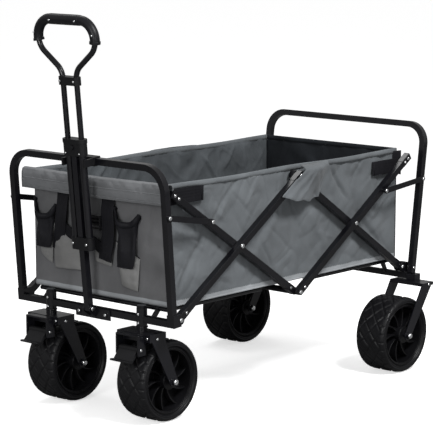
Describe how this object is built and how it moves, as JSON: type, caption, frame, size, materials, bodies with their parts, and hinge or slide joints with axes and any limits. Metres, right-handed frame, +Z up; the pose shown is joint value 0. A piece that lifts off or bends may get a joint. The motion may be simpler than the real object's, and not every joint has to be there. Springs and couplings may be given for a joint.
{
  "type": "collapsible folding wagon",
  "caption": "Collapsible beach wagon with a fabric tub, crossing folding side bars, fat black wheels, swivelling front casters and a telescoping loop handle.",
  "frame": {"origin": "on the ground, under the middle of the whole open wagon", "axes": "+Z up; -X towards the pulling handle and casters, +X towards the fixed rear wheels; +Y towards the wagon's right-hand side seen from the rear looking forward"},
  "size_m": [1.089, 0.659, 0.9724],
  "materials": {
    "frame_paint": "semi-gloss black powder coat",
    "bracket_paint": "satin black",
    "side_cloth": "matte woven polyester, grey",
    "front_cloth": "matte woven polyester, darker grey",
    "mesh": "black mesh with bound edge",
    "webbing": "black ribbed webbing",
    "mat": "padded grey cloth",
    "plastic": "matte black",
    "hub_plastic": "satin black",
    "tyre": "matte black moulded tread",
    "grip": "soft matte black"
  },
  "bodies": {
    "front_end": {"front_frame": "frame_paint", "front_crossbar": "frame_paint", "handle_bracket": "bracket_paint", "handle_clip": "plastic", "front_panel": "front_cloth", "front_cuff": "front_cloth", "cup_pouch_left": "mesh", "cup_pouch_right": "mesh", "organizer_straps": "webbing", "side_panel_left": "side_cloth", "side_panel_right": "side_cloth", "side_webbing_left": "webbing", "side_webbing_right": "webbing", "tub_floor": "side_cloth", "floor_mat": "mat"},
    "front_bars": {"front_bar_left": "frame_paint", "front_bar_right": "frame_paint"},
    "front_cross_bars": {"front_cross_bar_left": "frame_paint", "front_cross_bar_right": "frame_paint", "middle_tube": "frame_paint"},
    "rear_bars": {"rear_bar_left": "frame_paint", "rear_bar_right": "frame_paint"},
    "rear_cross_bars": {"rear_cross_bar_left": "frame_paint", "rear_cross_bar_right": "frame_paint"},
    "rear_end": {"rear_frame": "frame_paint", "rear_crossbar": "frame_paint", "rear_panel": "front_cloth", "rear_fork_left": "frame_paint", "rear_fork_right": "frame_paint"},
    "front_links": {"front_link_left": "frame_paint", "front_link_right": "frame_paint"},
    "rear_links": {"rear_link_left": "frame_paint", "rear_link_right": "frame_paint"},
    "front_floor": {"front_floor_frame": "frame_paint"},
    "rear_floor": {"rear_floor_frame": "frame_paint"},
    "caster_left": {"caster_fork_left": "frame_paint"},
    "pedal_left": {"brake_pedal_left": "plastic"},
    "front_wheel_left": {"front_hub_left": "hub_plastic", "front_rim_left": "hub_plastic", "front_tyre_left": "tyre"},
    "rear_wheel_left": {"rear_hub_left": "hub_plastic", "rear_rim_left": "hub_plastic", "rear_tyre_left": "tyre"},
    "caster_right": {"caster_fork_right": "frame_paint"},
    "pedal_right": {"brake_pedal_right": "plastic"},
    "front_wheel_right": {"front_hub_right": "hub_plastic", "front_rim_right": "hub_plastic", "front_tyre_right": "tyre"},
    "rear_wheel_right": {"rear_hub_right": "hub_plastic", "rear_rim_right": "hub_plastic", "rear_tyre_right": "tyre"},
    "handle_lower": {"handle_stem": "frame_paint", "handle_guides": "frame_paint", "handle_block": "plastic", "handle_collar": "plastic"},
    "handle_upper": {"handle_loop": "frame_paint", "handle_clamp": "plastic", "handle_grip": "grip"},
    "collar_button": {"handle_button": "plastic"}
  },
  "joints": [
    {"name": "fold", "type": "hinge", "parent": "front_end", "child": "front_bars", "pos_m": [-0.42382, 0, 0.264], "axis": [0, -1, 0], "range_deg": [0, 52.4], "deforming": ["side_panel_left", "side_panel_right", "side_webbing_left", "side_webbing_right", "tub_floor", "floor_mat"]},
    {"name": "front_cross", "type": "hinge", "parent": "front_bars", "child": "front_cross_bars", "pos_m": [-0.20082, 0, 0.411], "axis": [0, 1, 0], "range_deg": [0, 97.18]},
    {"name": "middle_joint", "type": "hinge", "parent": "front_bars", "child": "rear_bars", "pos_m": [0.02218, 0, 0.558], "axis": [0, 1, 0], "range_deg": [0, 97.18]},
    {"name": "rear_cross", "type": "hinge", "parent": "rear_bars", "child": "rear_cross_bars", "pos_m": [0.24518, 0, 0.411], "axis": [0, -1, 0], "range_deg": [0, 97.18]},
    {"name": "rear_end_joint", "type": "hinge", "parent": "rear_bars", "child": "rear_end", "pos_m": [0.46818, 0, 0.264], "axis": [0, -1, 0], "range_deg": [0, 55.07]},
    {"name": "front_link_joint", "type": "hinge", "parent": "front_end", "child": "front_links", "pos_m": [-0.46123, 0, 0.50997], "axis": [0, -1, 0], "range_deg": [0, 88.75]},
    {"name": "rear_link_joint", "type": "hinge", "parent": "rear_end", "child": "rear_links", "pos_m": [0.51716, 0, 0.4981], "axis": [0, 1, 0], "range_deg": [0, 86.83]},
    {"name": "front_floor_joint", "type": "hinge", "parent": "front_end", "child": "front_floor", "pos_m": [-0.41382, 0, 0.28], "axis": [0, -1, 0], "range_deg": [0, 87.98]},
    {"name": "rear_floor_joint", "type": "hinge", "parent": "rear_end", "child": "rear_floor", "pos_m": [0.45818, 0, 0.28], "axis": [0, 1, 0], "range_deg": [0, 87.98]},
    {"name": "caster_swivel_left", "type": "hinge", "parent": "front_end", "child": "caster_left", "pos_m": [-0.44125, -0.154, 0.23], "axis": [0, 0, 1], "continuous": true},
    {"name": "brake_pedal_hinge_left", "type": "hinge", "parent": "caster_left", "child": "pedal_left", "pos_m": [-0.48325, -0.154, 0.19], "axis": [0, -1, 0], "range_deg": [0, 15]},
    {"name": "front_wheel_spin_left", "type": "hinge", "parent": "caster_left", "child": "front_wheel_left", "pos_m": [-0.38775, -0.154, 0.1], "axis": [0, 1, 0], "continuous": true},
    {"name": "rear_wheel_spin_left", "type": "hinge", "parent": "rear_end", "child": "rear_wheel_left", "pos_m": [0.39318, -0.2705, 0.1], "axis": [0, 1, 0], "continuous": true},
    {"name": "caster_swivel_right", "type": "hinge", "parent": "front_end", "child": "caster_right", "pos_m": [-0.44125, 0.154, 0.23], "axis": [0, 0, 1], "continuous": true},
    {"name": "brake_pedal_hinge_right", "type": "hinge", "parent": "caster_right", "child": "pedal_right", "pos_m": [-0.48325, 0.154, 0.19], "axis": [0, -1, 0], "range_deg": [0, 15]},
    {"name": "front_wheel_spin_right", "type": "hinge", "parent": "caster_right", "child": "front_wheel_right", "pos_m": [-0.38775, 0.154, 0.1], "axis": [0, 1, 0], "continuous": true},
    {"name": "rear_wheel_spin_right", "type": "hinge", "parent": "rear_end", "child": "rear_wheel_right", "pos_m": [0.39318, 0.2705, 0.1], "axis": [0, 1, 0], "continuous": true},
    {"name": "handle_hinge", "type": "hinge", "parent": "front_end", "child": "handle_lower", "pos_m": [-0.46482, 0, 0.263], "axis": [0, -1, 0], "range_deg": [0, 85]},
    {"name": "handle_telescope", "type": "slide", "parent": "handle_lower", "child": "handle_upper", "axis": [0.0958, 0, -0.9954], "range_m": [0, 0.125]},
    {"name": "collar_button_press", "type": "slide", "parent": "handle_lower", "child": "collar_button", "axis": [0.9954, 0, 0.0958], "range_m": [0, 0.003], "stiffness_N_per_m": 400, "springref_m": -0.001}
  ],
  "couplings": [
    {"joint": "front_cross", "follows": "fold", "ratio": 1.8527},
    {"joint": "middle_joint", "follows": "fold", "ratio": 1.8527},
    {"joint": "rear_cross", "follows": "fold", "ratio": 1.8527},
    {"joint": "rear_end_joint", "follows": "fold", "ratio": 1.0491},
    {"joint": "front_link_joint", "follows": "fold", "ratio": 1.6918},
    {"joint": "rear_link_joint", "follows": "fold", "ratio": 1.6551},
    {"joint": "front_floor_joint", "follows": "fold", "ratio": 1.6771},
    {"joint": "rear_floor_joint", "follows": "fold", "ratio": 1.6771}
  ]
}
